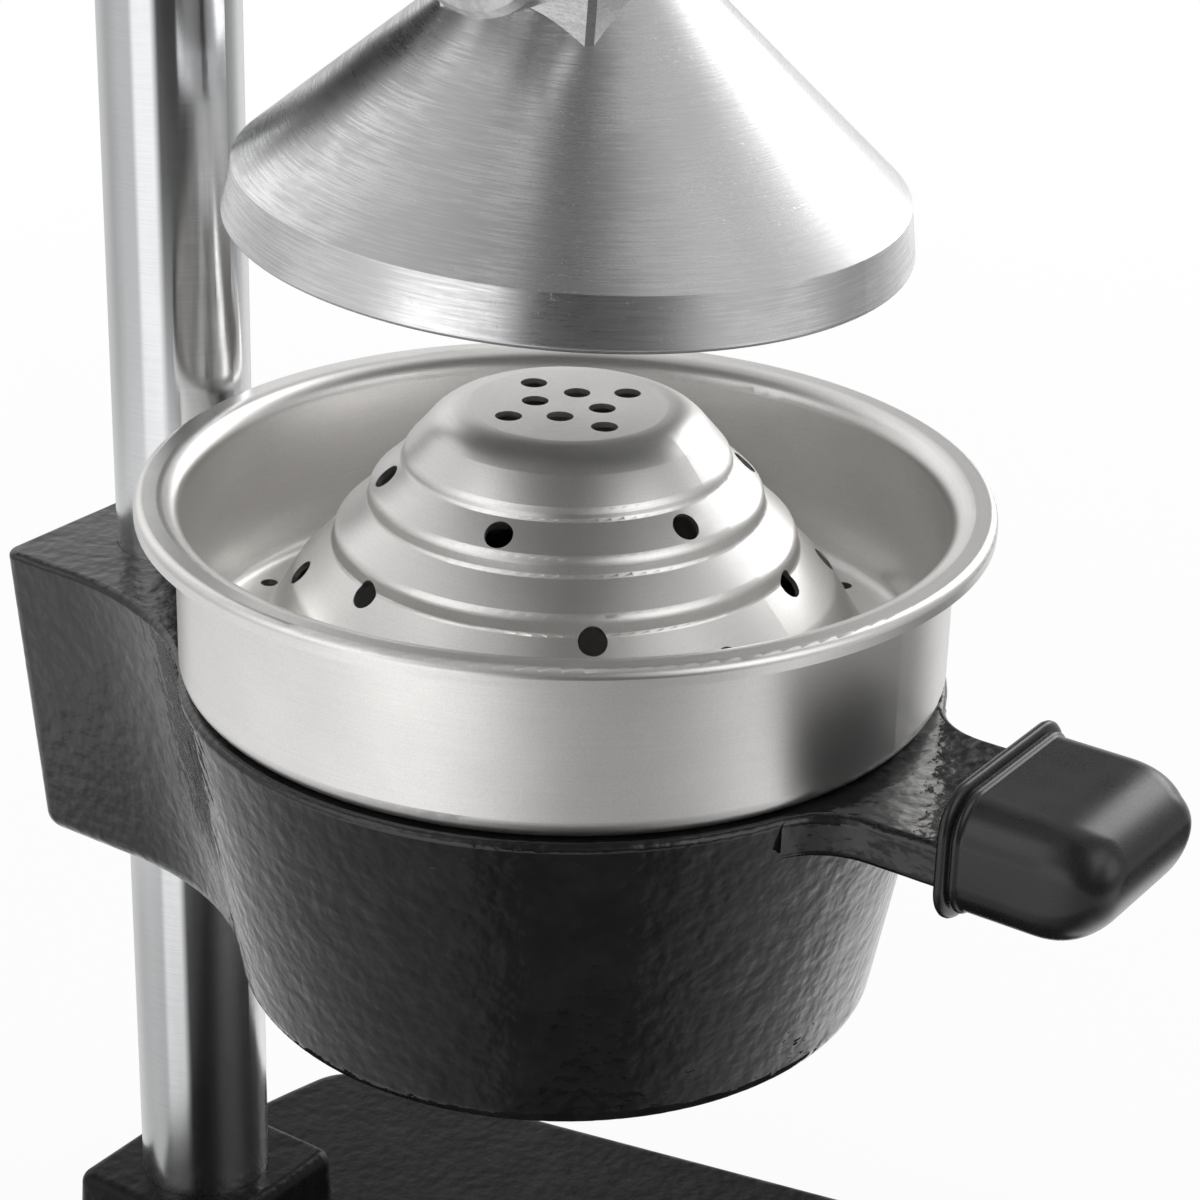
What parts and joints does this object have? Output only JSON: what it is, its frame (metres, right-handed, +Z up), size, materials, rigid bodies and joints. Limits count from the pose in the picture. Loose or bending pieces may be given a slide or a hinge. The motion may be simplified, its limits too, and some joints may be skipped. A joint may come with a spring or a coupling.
{
  "type": "lever juice press",
  "caption": "Free-standing hand lever citrus press: a linked bell comes down over a pierced strainer dome held on a column above the glass.",
  "frame": {"origin": "on the table, under the press axis, at the middle of the base", "axes": "+Z up along the press axis, +X from the column forward to the horn, +Y to the press's left"},
  "size_m": [0.226, 0.2064, 0.5616],
  "materials": {
    "enamel": "black gloss enamel over a cast surface",
    "chrome": "polished",
    "stainless": "satin pressed stainless",
    "cast_aluminium": "sanded casting",
    "bronze": "turned",
    "rubber": "matt",
    "grip_plastic": "satin black",
    "plated_steel": "bright zinc"
  },
  "bodies": {
    "stand": {"base_plate": "enamel", "column": "chrome", "column_bolt": "plated_steel", "column_washer": "plated_steel", "cup_holder": "enamel", "horn_grip": "grip_plastic", "juice_funnel": "stainless", "strainer_bowl": "stainless", "head": "enamel", "head_screw": "plated_steel", "pivot_bolt": "plated_steel", "pivot_nut": "plated_steel", "pivot_washer_left": "plated_steel", "pivot_washer_right": "plated_steel", "holder_screw_1": "plated_steel", "holder_screw_2": "plated_steel", "foot_1": "rubber", "foot_screw_1": "plated_steel", "foot_2": "rubber", "foot_screw_2": "plated_steel", "foot_3": "rubber", "foot_screw_3": "plated_steel", "foot_4": "rubber", "foot_screw_4": "plated_steel"},
    "lever": {"lever_arm": "enamel", "pivot_bush_left": "bronze", "pivot_bush_right": "bronze", "handle_rod": "chrome", "handle_nut": "plated_steel", "handle_grip": "grip_plastic"},
    "links": {"link_left": "cast_aluminium", "link_right": "cast_aluminium", "lever_pin": "plated_steel", "lever_pin_washer": "plated_steel", "lever_pin_clip": "plated_steel", "bell_pin": "plated_steel", "bell_pin_washer": "plated_steel", "bell_pin_clip": "plated_steel"},
    "bell": {"press_bell": "cast_aluminium"}
  },
  "joints": [
    {"name": "lever_pivot", "type": "hinge", "parent": "stand", "child": "lever", "pos_m": [-0.085, 0, 0.34798], "axis": [0, 1, 0], "range_deg": [0, 35.59]},
    {"name": "link_swing", "type": "hinge", "parent": "lever", "child": "links", "pos_m": [0.00262, 0, 0.3716], "axis": [0, 1, 0], "range_deg": [-35.6, 0]},
    {"name": "bell_swing", "type": "hinge", "parent": "links", "child": "bell", "pos_m": [0.00262, 0, 0.3056], "axis": [0, 1, 0], "range_deg": [-3.54, 0]}
  ],
  "couplings": [
    {"joint": "link_swing", "follows": "lever_pivot", "ratio": -1},
    {"joint": "bell_swing", "follows": "lever_pivot", "ratio": -0.099194}
  ]
}
